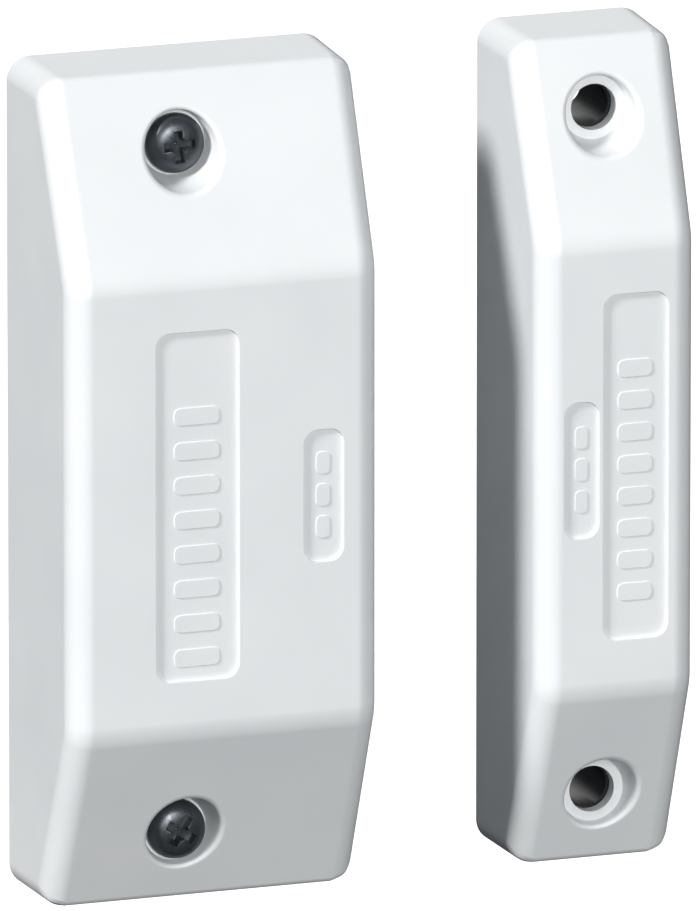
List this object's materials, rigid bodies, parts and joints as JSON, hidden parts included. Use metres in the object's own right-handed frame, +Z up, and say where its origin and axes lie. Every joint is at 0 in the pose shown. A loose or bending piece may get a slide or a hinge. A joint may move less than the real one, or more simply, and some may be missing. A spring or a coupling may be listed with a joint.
{
  "type": "door contact sensor",
  "caption": "Surface-mounted magnetic door contact: a wide switch unit with a reed switch and terminals, and a narrow magnet unit beside it.",
  "frame": {"origin": "centre of the switch unit's back face, on the wall plane", "axes": "+X to the right along the wall, from switch to magnet; +Y into the wall, so the fronts face -Y; +Z up along the housings' length"},
  "size_m": [0.055, 0.0152, 0.07],
  "materials": {
    "white_abs": "injection-moulded ABS, fine spark texture, satin",
    "black_abs": "injection-moulded black ABS, satin",
    "black_steel": "black-passivated steel, semi-gloss",
    "zinc_steel": "zinc-plated steel",
    "tinned_wire": "tinned nickel-iron wire",
    "brass_plate": "stamped brass",
    "board_laminate": "glass-epoxy laminate with green solder resist",
    "terminal_polyamide": "moulded polyamide, blue",
    "reed_glass": "drawn glass sleeve, faint green",
    "switch_polyamide": "moulded black polyamide",
    "cream_acetal": "turned acetal, natural",
    "ferrite": "sintered ferrite, ground faces"
  },
  "bodies": {
    "switch_unit": {"switch_base": "black_abs", "circuit_board": "board_laminate", "terminal_block": "terminal_polyamide", "reed_glass_tube": "reed_glass", "reed_lead_upper": "tinned_wire", "reed_lead_lower": "tinned_wire", "tamper_switch_body": "switch_polyamide", "tamper_spring": "zinc_steel", "terminal_plate_1": "brass_plate", "terminal_plate_2": "brass_plate", "terminal_plate_3": "brass_plate", "terminal_plate_4": "brass_plate"},
    "switch_cover": {"switch_cover": "white_abs"},
    "cover_screw_upper": {"cover_screw_upper": "black_steel"},
    "cover_screw_lower": {"cover_screw_lower": "black_steel"},
    "tamper_plunger": {"tamper_plunger": "cream_acetal"},
    "magnet_unit": {"magnet_cover": "white_abs", "magnet_base": "black_abs", "bar_magnet": "ferrite", "magnet_retainer": "zinc_steel"},
    "reed_blade_upper": {"reed_blade_upper": "tinned_wire"},
    "reed_blade_lower": {"reed_blade_lower": "tinned_wire"},
    "terminal_screw_1": {"terminal_screw_1": "zinc_steel"},
    "clamp_cage_1": {"clamp_cage_1": "zinc_steel"},
    "terminal_screw_2": {"terminal_screw_2": "zinc_steel"},
    "clamp_cage_2": {"clamp_cage_2": "zinc_steel"},
    "terminal_screw_3": {"terminal_screw_3": "zinc_steel"},
    "clamp_cage_3": {"clamp_cage_3": "zinc_steel"},
    "terminal_screw_4": {"terminal_screw_4": "zinc_steel"},
    "clamp_cage_4": {"clamp_cage_4": "zinc_steel"}
  },
  "joints": [
    {"name": "cover_lift", "type": "slide", "parent": "switch_unit", "child": "switch_cover", "axis": [0, -1, 0], "range_m": [0, 0.04]},
    {"name": "cover_screw_upper_turn", "type": "hinge", "parent": "switch_cover", "child": "cover_screw_upper", "pos_m": [-0.0022, -0.0082, 0.0289], "axis": [0, -1, 0], "range_deg": [0, 1440]},
    {"name": "cover_screw_lower_turn", "type": "hinge", "parent": "switch_cover", "child": "cover_screw_lower", "pos_m": [-0.0022, -0.0082, -0.0289], "axis": [0, -1, 0], "range_deg": [0, 1440]},
    {"name": "tamper_press", "type": "slide", "parent": "switch_unit", "child": "tamper_plunger", "axis": [0, -1, 0], "range_m": [0, 0.0012]},
    {"name": "magnet_slide", "type": "slide", "parent": "switch_unit", "child": "magnet_unit", "axis": [1, 0, 0], "range_m": [0, 0.06]},
    {"name": "reed_upper_flex", "type": "hinge", "parent": "switch_unit", "child": "reed_blade_upper", "pos_m": [0.0088, -0.0073, 0.00795], "axis": [-1, 0, 0], "range_deg": [0, 1]},
    {"name": "reed_lower_flex", "type": "hinge", "parent": "switch_unit", "child": "reed_blade_lower", "pos_m": [0.0088, -0.0071, -0.00295], "axis": [-1, 0, 0], "range_deg": [0, 1]},
    {"name": "terminal_screw_1_turn", "type": "hinge", "parent": "switch_unit", "child": "terminal_screw_1", "pos_m": [-0.0075, -0.0112, -0.0142], "axis": [0, -1, 0], "range_deg": [0, 1080]},
    {"name": "clamp_cage_1_rise", "type": "slide", "parent": "switch_unit", "child": "clamp_cage_1", "axis": [0, 1, 0], "range_m": [0, 0.00135]},
    {"name": "terminal_screw_2_turn", "type": "hinge", "parent": "switch_unit", "child": "terminal_screw_2", "pos_m": [-0.0025, -0.0112, -0.0142], "axis": [0, -1, 0], "range_deg": [0, 1080]},
    {"name": "clamp_cage_2_rise", "type": "slide", "parent": "switch_unit", "child": "clamp_cage_2", "axis": [0, 1, 0], "range_m": [0, 0.00135]},
    {"name": "terminal_screw_3_turn", "type": "hinge", "parent": "switch_unit", "child": "terminal_screw_3", "pos_m": [0.0025, -0.0112, -0.0142], "axis": [0, -1, 0], "range_deg": [0, 1080]},
    {"name": "clamp_cage_3_rise", "type": "slide", "parent": "switch_unit", "child": "clamp_cage_3", "axis": [0, 1, 0], "range_m": [0, 0.00135]},
    {"name": "terminal_screw_4_turn", "type": "hinge", "parent": "switch_unit", "child": "terminal_screw_4", "pos_m": [0.0075, -0.0112, -0.0142], "axis": [0, -1, 0], "range_deg": [0, 1080]},
    {"name": "clamp_cage_4_rise", "type": "slide", "parent": "switch_unit", "child": "clamp_cage_4", "axis": [0, 1, 0], "range_m": [0, 0.00135]}
  ],
  "couplings": [
    {"joint": "tamper_press", "follows": "cover_lift", "ratio": 0.03},
    {"joint": "reed_upper_flex", "follows": "magnet_slide", "rad_per_m": 0.29086},
    {"joint": "reed_lower_flex", "follows": "magnet_slide", "rad_per_m": 0.29086},
    {"joint": "terminal_screw_1_turn", "follows": "clamp_cage_1_rise", "rad_per_m": 13961},
    {"joint": "terminal_screw_2_turn", "follows": "clamp_cage_2_rise", "rad_per_m": 13961},
    {"joint": "terminal_screw_3_turn", "follows": "clamp_cage_3_rise", "rad_per_m": 13961},
    {"joint": "terminal_screw_4_turn", "follows": "clamp_cage_4_rise", "rad_per_m": 13961}
  ]
}
